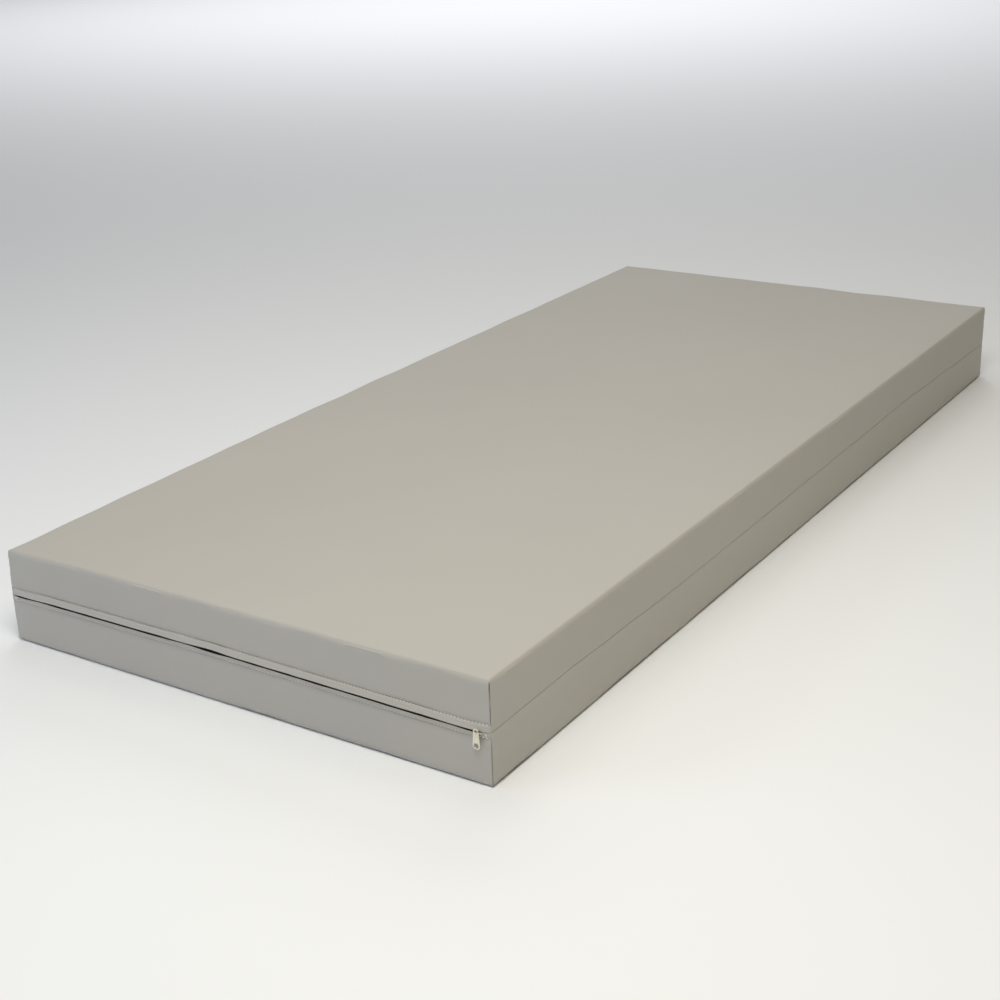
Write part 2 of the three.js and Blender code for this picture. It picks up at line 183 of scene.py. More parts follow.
# %% Tone variation
def build_tone_group():
    """Broad, cloudy changes of tone and a fine mottle, which no dyed cloth is without."""
    tree, entry, leave = new_group(
        "cloudy_tone",
        [
            ("Vector", "NodeSocketVector", (0, 0, 0)),
            ("Light", "NodeSocketColor", (1, 1, 1, 1)),
            ("Dark", "NodeSocketColor", (0.5, 0.5, 0.5, 1)),
            ("Cloud Scale", "NodeSocketFloat", 3.0),
            ("Mottle Scale", "NodeSocketFloat", 400.0),
            ("Mottle Share", "NodeSocketFloat", 0.3),
        ],
        [("Color", "NodeSocketColor"), ("Mask", "NodeSocketFloat")],
    )
    cloud = add_node(tree, "ShaderNodeTexNoise", Detail=3.0, Roughness=0.5)
    mottle = add_node(tree, "ShaderNodeTexNoise", Detail=2.0, Roughness=0.6)
    for node, label in ((cloud, "Cloud Scale"), (mottle, "Mottle Scale")):
        tree.links.new(entry.outputs["Vector"], node.inputs["Vector"])
        tree.links.new(entry.outputs[label], node.inputs["Scale"])
    both = tree.nodes.new("ShaderNodeMix")
    tree.links.new(entry.outputs["Mottle Share"], both.inputs["Factor"])
    tree.links.new(cloud.outputs["Fac"], both.inputs["A"])
    tree.links.new(mottle.outputs["Fac"], both.inputs["B"])
    spread = add_node(tree, "ShaderNodeMapRange", From_Min=0.3, From_Max=0.7)
    tree.links.new(both.outputs["Result"], spread.inputs["Value"])
    colour = tree.nodes.new("ShaderNodeMix")
    colour.data_type = "RGBA"
    tree.links.new(spread.outputs["Result"], colour.inputs["Factor"])
    tree.links.new(entry.outputs["Dark"], colour.inputs[6])
    tree.links.new(entry.outputs["Light"], colour.inputs[7])
    tree.links.new(colour.outputs[2], leave.inputs["Color"])
    tree.links.new(spread.outputs["Result"], leave.inputs["Mask"])
    return tree


cloudy_tone = build_tone_group()
print("group", cloudy_tone.name)


# %% Fine grain of a coated cloth
def build_grain_group():
    """The pebbled skin of a coating over the faint ribs of the knit below it."""
    tree, entry, leave = new_group(
        "coated_grain",
        [
            ("Vector", "NodeSocketVector", (0, 0, 0)),
            ("Pebble Scale", "NodeSocketFloat", 1400.0),
            ("Rib Scale", "NodeSocketFloat", 900.0),
            ("Rib Share", "NodeSocketFloat", 0.35),
        ],
        [("Height", "NodeSocketFloat")],
    )
    pebble = add_node(tree, "ShaderNodeTexVoronoi", {"feature": "SMOOTH_F1"}, Smoothness=0.6)
    tree.links.new(entry.outputs["Vector"], pebble.inputs["Vector"])
    tree.links.new(entry.outputs["Pebble Scale"], pebble.inputs["Scale"])
    rib = add_node(tree, "ShaderNodeTexWave", {"bands_direction": "DIAGONAL"}, Distortion=1.5)
    tree.links.new(entry.outputs["Vector"], rib.inputs["Vector"])
    tree.links.new(entry.outputs["Rib Scale"], rib.inputs["Scale"])
    both = tree.nodes.new("ShaderNodeMix")
    tree.links.new(entry.outputs["Rib Share"], both.inputs["Factor"])
    tree.links.new(pebble.outputs["Distance"], both.inputs["A"])
    tree.links.new(rib.outputs["Fac"], both.inputs["B"])
    tree.links.new(both.outputs["Result"], leave.inputs["Height"])
    return tree


coated_grain = build_grain_group()
print("group", coated_grain.name)


# %% [markdown]
# ## Materials
#
# The cover's cloth is polyester with a polyurethane coating: matt, smooth to wipe, a warm grey with a
# trace of sheen at a low angle. The hems are sewn in cream. The seams' thread is painted near black and
# the coil and tapes dark grey: painted shade, the shade deep in the grooves and the slot, so the slot
# reads as a dark line. The slider and pull are zinc castings with a pale nickel plate. The patterns read
# Object coordinates in metres, so a scale of 1000 is about one cell in each millimetre.


# %% Material helpers
def new_material(name, roughness, sheen=0.0, metallic=0.0, coat=0.0, specular=0.5):
    """A node material with only its Principled shader and output."""
    material = bpy.data.materials.new(name)
    material.use_nodes = True
    shader = material.node_tree.nodes["Principled BSDF"]
    shader.inputs["Roughness"].default_value = roughness
    shader.inputs["Sheen Weight"].default_value = sheen
    shader.inputs["Metallic"].default_value = metallic
    shader.inputs["Coat Weight"].default_value = coat
    shader.inputs["Specular IOR Level"].default_value = specular
    return material, material.node_tree, shader


def place_group(tree, group, **values):
    """A group node with its input values given by name with _ for a space."""
    node = tree.nodes.new("ShaderNodeGroup")
    node.node_tree = group
    for key, value in values.items():
        node.inputs[key.replace("_", " ")].default_value = value
    return node


def object_coordinates(tree):
    return tree.nodes.new("ShaderNodeTexCoord").outputs["Object"]


def add_bump(tree, shader, height, strength, distance):
    """A bump from one height, straight into the shader's normal."""
    bump = add_node(tree, "ShaderNodeBump", Strength=strength, Distance=distance)
    tree.links.new(height, bump.inputs["Height"])
    tree.links.new(bump.outputs["Normal"], shader.inputs["Normal"])


def cloth_like(name, light, dark, roughness, sheen, cloud, mottle, pebble, rib, bump, depth):
    """A material with the two shared effects, each at its own scale."""
    material, tree, shader = new_material(name, roughness, sheen=sheen, specular=0.35)
    place = object_coordinates(tree)
    tone = place_group(
        tree, cloudy_tone, Light=light, Dark=dark, Cloud_Scale=cloud, Mottle_Scale=mottle
    )
    grain = place_group(tree, coated_grain, Pebble_Scale=pebble, Rib_Scale=rib)
    tree.links.new(place, tone.inputs["Vector"])
    tree.links.new(place, grain.inputs["Vector"])
    tree.links.new(tone.outputs["Color"], shader.inputs["Base Color"])
    add_bump(tree, shader, grain.outputs["Height"], bump, depth)
    return material


# %% The materials
cover_cloth = cloth_like(
    "coated_fabric", light=(0.470, 0.451, 0.415, 1), dark=(0.450, 0.431, 0.396, 1),
    roughness=0.62, sheen=0.08, cloud=3, mottle=300, pebble=1400, rib=900, bump=0.12, depth=0.0002,
)
cream_thread = cloth_like(
    "cream_thread", light=(0.90, 0.88, 0.82, 1), dark=(0.80, 0.77, 0.70, 1),
    roughness=0.75, sheen=0.2, cloud=60, mottle=2500, pebble=5000, rib=3000, bump=0.4, depth=0.0002,
)
# The seams' thread has the cloth's own colour. This near black is painted shade, the shade deep in the
# seam grooves.
seam_thread = cloth_like(
    "seam_thread", light=(0.09, 0.085, 0.075, 1), dark=(0.06, 0.057, 0.05, 1),
    roughness=0.8, sheen=0.1, cloud=60, mottle=2500, pebble=5000, rib=3000, bump=0.4, depth=0.0002,
)
# The tapes are painted dark grey. This is painted shade, the shade inside the zip's slot, not the tape's
# own colour.
tape_painted_shade = cloth_like(
    "zip_tape", light=(0.062, 0.058, 0.051, 1), dark=(0.045, 0.043, 0.038, 1),
    roughness=0.85, sheen=0.1, cloud=20, mottle=1500, pebble=2400, rib=2000, bump=0.5, depth=0.0003,
)
# The real coil is light grey. This dark grey is painted shade, the shade deep in the slot between the
# hems.
coil_painted_shade = cloth_like(
    "zip_coil", light=(0.055, 0.052, 0.047, 1), dark=(0.045, 0.043, 0.039, 1),
    roughness=0.28, sheen=0.0, cloud=40, mottle=900, pebble=1500, rib=800, bump=0.1, depth=0.0001,
)
base_foam = cloth_like(
    "base_foam", light=(0.74, 0.76, 0.74, 1), dark=(0.64, 0.67, 0.65, 1),
    roughness=0.95, sheen=0.0, cloud=8, mottle=700, pebble=900, rib=500, bump=0.8, depth=0.0008,
)
side_foam = cloth_like(
    "side_foam", light=(0.56, 0.63, 0.67, 1), dark=(0.48, 0.55, 0.59, 1),
    roughness=0.95, sheen=0.0, cloud=8, mottle=700, pebble=900, rib=500, bump=0.8, depth=0.0008,
)
relief_foam = cloth_like(
    "relief_foam", light=(0.82, 0.74, 0.48, 1), dark=(0.74, 0.66, 0.41, 1),
    roughness=0.95, sheen=0.0, cloud=8, mottle=700, pebble=900, rib=500, bump=0.8, depth=0.0008,
)


def build_zip_metal():
    """Pale nickel plate with a warm cast, and a finely tumbled surface."""
    material, tree, shader = new_material("zip_metal", 0.34, metallic=1.0)
    place = object_coordinates(tree)
    tone = place_group(
        tree,
        cloudy_tone,
        Light=(0.82, 0.80, 0.68, 1),
        Dark=(0.66, 0.64, 0.52, 1),
        Cloud_Scale=120,
        Mottle_Scale=1800,
    )
    grain = place_group(tree, coated_grain, Pebble_Scale=2500, Rib_Scale=600)
    tree.links.new(place, tone.inputs["Vector"])
    tree.links.new(place, grain.inputs["Vector"])
    tree.links.new(tone.outputs["Color"], shader.inputs["Base Color"])
    worn = add_node(tree, "ShaderNodeMapRange", To_Min=0.26, To_Max=0.42)
    tree.links.new(tone.outputs["Mask"], worn.inputs["Value"])
    tree.links.new(worn.outputs["Result"], shader.inputs["Roughness"])
    add_bump(tree, shader, grain.outputs["Height"], 0.15, 0.0001)
    return material


zip_metal = build_zip_metal()
print("materials:", len(bpy.data.materials))

# %% [markdown]
# ## The shape of the cover
#
# The real cover is a flat sheet cut in the shape of a cross: its four arms fold down as walls, and a
# seam up each corner joins them. A box with rounded edges is the same shape, so each half starts as a
# cube with its outer rim bevelled. Loops are cut close together only where the cloth turns: at the
# corners, the seams and the hems. After that every vertex is moved once, by one rule that says how
# cloth settles: grooves at the corners, hems that lean out, and long soft waves.

# %% Where the cloth turns
UPPER, LOWER = 1, -1
RIM_ROUND = {UPPER: EDGE_ROUND, LOWER: 6 * MM}
LIP = 1.75 * MM
GROOVE_DEPTH = 4.4 * MM
SEAM_OPENING = 0.35 * MM
MOUTH_OPENING = 1.8 * MM
CORNER_LOOPS = [LIP, 2.6 * MM, 4.5 * MM, 8 * MM]
ACROSS_CUTS = 131
ALONG_CUTS = 151


def middle_height(node):
    low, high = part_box(node)
    return (low.z + high.z) / 2


STITCH_RISE = {
    UPPER: middle_height("topstitch_upper") - SEAM_HEIGHT,
    LOWER: SEAM_HEIGHT - middle_height("topstitch_lower"),
}
print("stitch lines from the slot", {side: round(z, 4) for side, z in STITCH_RISE.items()})


# %% A half box with its loops
def wall_rises(side):
    """How far above or below the slot the loops of a wall lie."""
    hem = STITCH_RISE[side]
    rises = [1.2 * MM, 2.4 * MM, hem * 0.45, hem * 0.7, hem - 1.1 * MM, hem, hem + 1.1 * MM]
    rises += [hem + 2.6 * MM, hem + 4.6 * MM]
    top = HEIGHT - SEAM_HEIGHT if side == UPPER else SEAM_HEIGHT
    rest = hem + 8 * MM
    while rest < top - RIM_ROUND[side] - 3 * MM:
        rises.append(rest)
        rest += 5.5 * MM
    return rises


def cut_loop(bm, axis, place):
    """Cuts one loop right round the shape, square to an axis."""
    normal = Vector([float(i == axis) for i in range(3)])
    everything = bm.verts[:] + bm.edges[:] + bm.faces[:]
    bmesh.ops.bisect_plane(bm, geom=everything, dist=CLOSE_MERGE, plane_co=normal * place, plane_no=normal)


def long_edges(bm, axis, least):
    """The edges that run along an axis and are longer than a length."""
    found = []
    for edge in bm.edges:
        run = edge.verts[1].co - edge.verts[0].co
        if abs(run[axis]) > least and abs(run[axis]) > NEARLY_ALL * run.length:
            found.append(edge)
    return found


def half_box(side):
    """One half of the cover as an open box with all its loops."""
    bm = bmesh.new()
    bmesh.ops.create_cube(bm, size=1)
    bmesh.ops.scale(bm, vec=(2 * HALF_WIDTH, 2 * HALF_LENGTH, HEIGHT), verts=bm.verts)
    bmesh.ops.translate(bm, vec=(0, 0, HEIGHT / 2), verts=bm.verts)
    outer = HEIGHT if side == UPPER else 0
    rim = [e for e in bm.edges if all(abs(v.co.z - outer) < MM for v in e.verts)]
    bmesh.ops.bevel(
        bm,
        geom=rim,
        offset=RIM_ROUND[side],
        segments=5,
        profile=0.5,
        affect="EDGES",
        material=-1,
    )
    for rise in wall_rises(side):
        cut_loop(bm, 2, SEAM_HEIGHT + side * rise)
    for inset in CORNER_LOOPS:
        for end in (-1, 1):
            cut_loop(bm, 0, end * (HALF_WIDTH - inset))
            cut_loop(bm, 1, end * (HALF_LENGTH - inset))
    bmesh.ops.subdivide_edges(bm, edges=long_edges(bm, 0, HALF_WIDTH), cuts=ACROSS_CUTS)
    bmesh.ops.subdivide_edges(bm, edges=long_edges(bm, 1, HALF_LENGTH), cuts=ALONG_CUTS)
    bmesh.ops.bisect_plane(
        bm,
        geom=bm.verts[:] + bm.edges[:] + bm.faces[:],
        dist=CLOSE_MERGE,
        plane_co=(0, 0, SEAM_HEIGHT + side * SEAM_OPENING),
        plane_no=(0, 0, side),
        clear_inner=True,
    )
    return bm


# %% [markdown]
# ## How the cloth settles
#
# One function moves any point of the plain box to where the cloth really lies. The stitches use it too,
# so thread and cloth can't drift apart. It works in layers: the long waves of the seams, the hems, the
# grooves at the corners, the small puckers that a sewn line pulls, and the slight flats along the rim
# where foam blocks end.

# %% Long waves of the seams
# Pairs of a place in metres and a drift in millimetres, read between with a soft curve.
SLOT_WAVE = [
    (-0.45, -4.0), (-0.425, -1.4), (-0.36, 0.1), (-0.2, 0.9), (-0.05, 2.2),
    (0.08, 1.0), (0.2, 0.2), (0.33, -0.8), (0.415, -1.4), (0.45, -0.2),
]
SIDE_WAVE = [
    (-1.0, 0.0), (-0.9, 1.6), (-0.8, 2.6), (-0.66, 0.0), (-0.5, -3.2), (-0.25, -2.2),
    (0.0, 0.0), (0.25, 1.6), (0.5, 4.0), (0.7, 0.0), (0.86, -4.0), (1.0, -4.6),
]
PLAIN_DRIFT = 3.2 * MM
PLAIN_WAVELENGTH = 0.33
DRIFT_FADE = 50 * MM


def along_wave(wave, place):
    """The drift at a place, in metres."""
    for (start, low), (end, high) in zip(wave, wave[1:]):
        if place <= end:
            return (low + (high - low) * smooth_step((place - start) / (end - start))) * MM
    return wave[-1][1] * MM


def ripple(along, across, wavelength, seed):
    """Smooth noise in metres along a wall, between -1 and 1."""
    return noise.noise(Vector((along / wavelength, across / wavelength, seed)))


def seam_drift(point, on_end):
    """How far the seam between the halves wanders up or down at a point of the wall."""
    if on_end and point.y < 0:
        return along_wave(SLOT_WAVE, point.x)
    if not on_end and point.x > 0:
        return along_wave(SIDE_WAVE, point.y)
    along = point.x if on_end else point.y
    return PLAIN_DRIFT * ripple(along, 0, PLAIN_WAVELENGTH, 4.5 + on_end)


# %% Hems beside the zip
HEM_FADE = 24 * MM


def hem_strength(x):
    """1 along most of the hem, falling to 0 where the corner seam holds it flat."""
    return smooth_step((HALF_WIDTH - abs(x) - LIP) / HEM_FADE)


def hem_lean(x, rise, side):
    """How far the cloth of a hem stands out from the wall."""
    share = min(1.0, max(0.0, (STITCH_RISE[side] - rise) / (STITCH_RISE[side] - 1 * MM)))
    strength = hem_strength(x)
    return strength * share * (HEM_KICK + 0.3 * MM * ripple(x, 0, 0.04, side))


def stitch_pull(x, rise, side):
    """How far the row of stitches pulls the cloth in, more at each pucker."""
    past = rise - STITCH_RISE[side]
    pull = 0.7 * MM * hump(past, 1.1 * MM)
    if past > 0:
        pucker = 0.5 + 0.5 * ripple(x, 0, 0.016, 9 + side)
        pull += (0.6 + 0.9 * pucker) * MM * hump(past, 5.0 * MM)
        pull += 0.8 * MM * ripple(x, rise, 0.05, 20 + side) * hump(past, 16 * MM)
    return pull


def mouth_gape(x, rise, side):
    """How much further the slot opens here than the plain seam does."""
    opening = MOUTH_OPENING - SEAM_OPENING + 1.5 * MM * ripple(x, 0, 0.06, 31)
    near_slot = smooth_step(1 - rise / (0.7 * STITCH_RISE[side]))
    return max(-0.1 * MM, opening * hem_strength(x)) * near_slot


# %% Corners and rims
def corner_groove(inset_x, inset_y, over_rim):
    """How deep the cloth turns in at a corner seam, less where the rim rounds over."""
    if abs(inset_x - inset_y) > 1e-5 or inset_x > EDGE_ROUND * 0.98:
        return 0.0
    return GROOVE_DEPTH * (1 - smooth_step(over_rim / (0.55 * EDGE_ROUND))) + 0.3 * MM


def corner_pull(from_corner, z, side):
    """How far a wall is drawn in beside a corner seam, with a pucker at every few stitches."""
    pucker = ripple(z, 0, 0.011, 40 + side) * hump(from_corner - 3 * MM, 5 * MM)
    gather = ripple(z, from_corner, 0.02, 50 + side) * hump(from_corner - 6 * MM, 14 * MM)
    top_end = hump(z - HEIGHT + 20 * MM, 11 * MM)
    return (0.9 * hump(from_corner, 16 * MM) + (0.35 + 1.6 * top_end) * pucker + 0.35 * gather) * MM


def rim_flat(inset_x, inset_y, over_rim, along, seed):
    """How far the rounded rim gives way along its length, which bends its line a little."""
    bend = ripple(along, 0, 0.1, seed)
    near = hump(min(inset_x, inset_y), 20 * MM) * smooth_step(over_rim / (0.3 * EDGE_ROUND))
    return max(0.0, 0.9 + 1.3 * bend) * MM * near


CORNER_LEAN = 5 * MM
CORNER_SINK = 3 * MM


def soft_corner(point, side):
    """How the upper corner at the left of the foot end gives: it leans in and sinks a little."""
    if side == LOWER:
        return Vector((0, 0, 0))
    share = (point.z - SEAM_HEIGHT) / (HEIGHT - SEAM_HEIGHT)
    near_end = hump(point.y + HALF_LENGTH, 0.40)
    near_side = hump(point.x + HALF_WIDTH, 0.12)
    return Vector((CORNER_LEAN * share * near_side, 0, -CORNER_SINK * share * near_side)) * near_end


# %% The rule for the cloth
def settle(point, normal, side):
    """Moves one point of the plain box to where the cloth lies."""
    inset_x = HALF_WIDTH - abs(point.x)
    inset_y = HALF_LENGTH - abs(point.y)
    out_x = math.copysign(1, point.x)
    out_y = math.copysign(1, point.y)
    on_side = inset_x < 1e-5
    on_end = inset_y < 1e-5
    rise = side * (point.z - SEAM_HEIGHT)
    top = HEIGHT - SEAM_HEIGHT if side == UPPER else SEAM_HEIGHT
    over_rim = max(0.0, rise - (top - RIM_ROUND[side]))
    along = point.y if inset_x < inset_y else point.x
    moved = point - normal * rim_flat(inset_x, inset_y, over_rim, along, out_x * 3 + out_y * 5 + side)

    moved += soft_corner(point, side)
    groove = corner_groove(inset_x, inset_y, over_rim)
    moved += Vector((-out_x, -out_y, 0)) * groove / math.sqrt(2)
    if not (on_side or on_end):
        return moved
    outward = Vector((out_x * on_side, out_y * on_end, 0)).normalized()
    from_corner = inset_y if on_side else inset_x
    moved -= outward * corner_pull(from_corner, point.z, side)
    if not groove and from_corner < LIP * 1.01:
        moved -= outward * 0.2 * MM
    calm = 1 - smooth_step(rise / DRIFT_FADE)
    moved.z += seam_drift(point, on_end and not on_side) * calm
    if on_end and out_y < 0 and not on_side:
        moved += outward * (hem_lean(point.x, rise, side) - stitch_pull(point.x, rise, side))
        moved.z += side * mouth_gape(point.x, rise, side)
    else:
        pucker = 0.6 + 0.4 * ripple(along, 0, 0.03, 60 + side)
        moved -= outward * (pucker * hump(rise, 4.5 * MM) + 0.3 * hump(rise, 1.2 * MM)) * MM
    return moved


print("slot drift at the middle", round(along_wave(SLOT_WAVE, 0) * 1000, 2), "mm")

# %% [markdown]
# ## Turning in the open edges
#
# Where two halves meet, cloth never ends in a cut edge. Along the sides and the head it turns in and is
# sewn on the inside. Across the foot it folds back behind itself as a hem, which gives the zip a thick
# straight lip to hide behind. Both are made by extruding the open edge a few times.


# %% Seam turnings and hems
# Each pair is a step inwards or back and a step up or down, in millimetres.
TURNING_STEPS = ((0.5, 0.12), (1.0, 0.08), (1.8, 0.0))
FOLD_STEPS = ((0.35, -0.2), (0.45, -0.05), (0.4, 0.25), (0.1, 1.0))
FOLD_RISE = 2.4 * MM
FOLD_SLACK = 0.8 * MM
HEM_STEPS = 3
CORNER_REACH = 9 * MM


def is_hem_edge(edge):
    """True for the open edges beside the zip."""
    reach = HALF_WIDTH - LIP * 0.9
    return all(v.co.y < -HALF_LENGTH + 2 * MM and abs(v.co.x) < reach for v in edge.verts)


def extrude_rim(bm, edges, place):
    """Extrudes an open rim once, and moves each new vertex to place(its position)."""
    made = bmesh.ops.extrude_edge_only(bm, edges=edges)["geom"]
    for item in made:
        if isinstance(item, bmesh.types.BMVert):
            item.co = place(item.co.copy())
    return [item for item in made if isinstance(item, bmesh.types.BMEdge)]


def turn_in(bm, edges, side):
    """Turns the rim inwards by a few millimetres."""
    for depth, lift in TURNING_STEPS:

        def place(co):
            at_side = HALF_WIDTH - abs(co.x) < CORNER_REACH
            at_end = HALF_LENGTH - abs(co.y) < CORNER_REACH
            step_x = -math.copysign(depth * MM, co.x) * at_side
            step_y = -math.copysign(depth * MM, co.y) * at_end
            return co + Vector((step_x, step_y, -side * lift * MM))

        edges = extrude_rim(bm, edges, place)


def fold_hem(bm, edges, side):
    """Folds the rim back behind the hem, up to the stitch line."""
    for back, up in FOLD_STEPS:
        edges = extrude_rim(bm, edges, lambda co: co + Vector((0, back * MM, side * up * MM)))
    run = (STITCH_RISE[side] - FOLD_RISE) / HEM_STEPS
    back = (HEM_KICK - FOLD_SLACK) / HEM_STEPS
    for _ in range(HEM_STEPS):
        edges = extrude_rim(
            bm, edges, lambda co: co + Vector((0, hem_strength(co.x) * back, side * run))
        )


def sew_half(side):
    """One half of the cover as a single layer of cloth."""
    bm = half_box(side)
    bm.normal_update()
    moved = [settle(v.co, v.normal, side) for v in bm.verts]
    for vert, place in zip(bm.verts, moved):
        vert.co = place
    rim = [e for e in bm.edges if e.is_boundary]
    hem = [e for e in rim if is_hem_edge(e)]
    turned = [e for e in rim if not is_hem_edge(e)]
    fold_hem(bm, hem, side)
    turn_in(bm, turned, side)
    bmesh.ops.recalc_face_normals(bm, faces=bm.faces)
    return bm


# %% The two halves of the cover
def cover_half(name, node, side):
    """Gives the sewn cloth its thickness, which grows inwards, and finishes the piece."""
    bm = sew_half(side)
    piece = make_piece(bm, name, cover_cloth, "mattress", [node], math.radians(50))
    thick = piece.modifiers.new("thickness", "SOLIDIFY")
    thick.thickness = FABRIC
    thick.offset = -1
    thick.use_even_offset = False


cover_half("upper_cover", "cover_top", UPPER)
cover_half("lower_cover", "cover_base", LOWER)

# %% [markdown]
# ## Thread
#
# A row of lockstitch shows as short dashes, each dipping into the cloth at both ends. Modelling each one
# as a slim rounded grain is enough, because it is the rhythm that reads as sewing. The rows beside the
# zip are cream. The thread that closes the walls lies deep in the seam, painted dark as the seam's shade.

# %% A row of stitches
STITCH_PITCH = 5.5 * MM
TOP_THREAD = 1.5 * MM
SEAM_THREAD = 0.8 * MM


def grain_mesh():
    """One stitch of unit size: a rounded grain with its long axis along Z."""
    bm = bmesh.new()
    bmesh.ops.create_uvsphere(bm, u_segments=6, v_segments=5, radius=0.5)
    mesh = bpy.data.meshes.new("grain")
    bm.to_mesh(mesh)
    bm.free()
    return mesh


def stamp(bm, mesh, matrix):
    """Adds a copy of a small mesh, moved by a matrix, which stays quick for hundreds of copies."""
    mesh.transform(matrix)
    bm.from_mesh(mesh)
    mesh.transform(matrix.inverted())


stitch_grain = grain_mesh()


def lay_stitch(bm, place, along, length, thread):
    """One stitch with its long axis along the seam."""
    turn = along.to_track_quat("Z", "Y").to_matrix().to_4x4()
    size = Matrix.Diagonal((thread, thread, length, 1))
    stamp(bm, stitch_grain, Matrix.Translation(place) @ turn @ size)


def sew_row(name, node, path, material, thread, share):
    """Stitches along a path of points, each one a share of the way to the next."""
    bm = bmesh.new()
    for here, after in zip(path, path[1:]):
        lay_stitch(bm, (here + after) / 2, after - here, (after - here).length * share, thread)
    make_piece(bm, name, material, "mattress", [node], ALL_SMOOTH)


def steps_between(start, end, pitch):
    count = max(1, round(abs(end - start) / pitch))
    return [start + (end - start) * i / count for i in range(count + 1)]


# %% The cream rows beside the zip
ROW_END = HALF_WIDTH - 5 * MM
STITCH_PROUD = 0.6 * MM


def hem_row(side):
    """Points along the stitch line of one hem, just proud of the cloth."""
    level = SEAM_HEIGHT + side * STITCH_RISE[side]
    outward = Vector((0, -1, 0))
    path = []
    for x in steps_between(-ROW_END, ROW_END, STITCH_PITCH):
        path.append(settle(Vector((x, -HALF_LENGTH, level)), outward, side) + outward * STITCH_PROUD)
    return path


for side, name in ((UPPER, "upper"), (LOWER, "lower")):
    sew_row(
        name + "_hem_row",
        "topstitch_" + name,
        hem_row(side),
        cream_thread,
        TOP_THREAD,
        0.7,
    )


# %% The tacks at the ends of the zip
TACK_THREAD = 0.8 * MM
TACK_PROUD = 0.25 * MM


def tack(name, node):
    """A few stitches laid side by side across the lower hem."""
    low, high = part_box(node)
    bm = bmesh.new()
    for x in steps_between(low.x, high.x, TACK_THREAD):
        top = settle(Vector((x, -HALF_LENGTH, high.z)), Vector((0, -1, 0)), LOWER)
        bottom = settle(Vector((x, -HALF_LENGTH, low.z)), Vector((0, -1, 0)), LOWER)
        centre = (top + bottom) / 2 + Vector((0, -TACK_PROUD, 0))
        lay_stitch(bm, centre, top - bottom, (top - bottom).length, TACK_THREAD)
    make_piece(
        bm, name, cream_thread, "mattress", [node], ALL_SMOOTH
    )


tack("left_end_tack", "end_tack_left")
tack("right_end_tack", "end_tack_right")


# %% The corner seams' thread, painted dark as the shade in their grooves
CORNER_PITCH = 4.5 * MM
CORNER_PROUD = 1.2 * MM
SEAM_CLEARANCE = 2.5 * MM


def corner_row(side, out_x, out_y):
    """Points down one corner seam, a little inside the lips of its groove."""
    diagonal = Vector((out_x, out_y, 0)).normalized()
    top = HEIGHT - RIM_ROUND[side] * 0.6 if side == UPPER else RIM_ROUND[side] * 0.6
    path = []
    for z in steps_between(SEAM_HEIGHT + side * SEAM_CLEARANCE, top, CORNER_PITCH):
        corner = Vector((out_x * HALF_WIDTH, out_y * HALF_LENGTH, z))
        path.append(settle(corner, diagonal, side) + diagonal * CORNER_PROUD)
    return path


for end_name, out_y in (("foot", -1), ("head", 1)):
    for side_name, out_x in (("left", -1), ("right", 1)):
        for half_name, side in (("upper", UPPER), ("lower", LOWER)):
            place_name = "_".join((half_name, end_name, side_name))
            sew_row(
                place_name + "_corner_row",
                "corner_seam_" + place_name,
                corner_row(side, out_x, out_y),
                seam_thread,
                SEAM_THREAD,
                0.8,
            )


# %% The thread between the halves, painted dark as the shade in the seam
WALL_PITCH = 5 * MM
WALL_END = 5 * MM
WALL_SUNK = 0.9 * MM


def wall_row(out_x, out_y):
    """Points along the seam of one long side, or of the head end."""
    outward = Vector((out_x, out_y, 0))
    reach = (HALF_LENGTH if out_x else HALF_WIDTH) - WALL_END
    path = []
    for run in steps_between(-reach, reach, WALL_PITCH):
        x = out_x * HALF_WIDTH if out_x else run
        y = run if out_x else out_y * HALF_LENGTH
        on_seam = settle(Vector((x, y, SEAM_HEIGHT)), outward, UPPER)
        path.append(on_seam - outward * WALL_SUNK)
    return path


for name, node, out_x, out_y in (
    ("left_side_row", "side_seam_left", -1, 0),
    ("right_side_row", "side_seam_right", 1, 0),
    ("head_row", "head_seam", 0, 1),
):
    row = wall_row(out_x, out_y)
    sew_row(name, node, row, seam_thread, SEAM_THREAD, 0.85)

# %% [markdown]
# ## The zip
#
# A coil zip is one thick nylon thread wound into a spring along the edge of each tape. The turns of the
# two springs slip between each other. Spinning a small ring about the zip's line while stepping along
# it winds exactly that spring. The tapes are thin strips behind the coil. Only the end stops stay as
# the frame has them, in a better material.

# %% How the zip follows the slot
STRAIGHT_END = 48 * MM


def zip_drift(x):
    """The zip follows the slot's waves, but stays straight where the slider parks."""
    held = smooth_step((HALF_WIDTH - abs(x) - STRAIGHT_END) / STRAIGHT_END)
    return along_wave(SLOT_WAVE, x) * held


# %% Wind the coils
COIL_PITCH = 1.7 * MM
COIL_WIRE = 0.32 * MM
COIL_PAST_MIDDLE = 0.7 * MM
COIL_START = {UPPER: 0.6, LOWER: 1.1}
TURN_STEPS = 8


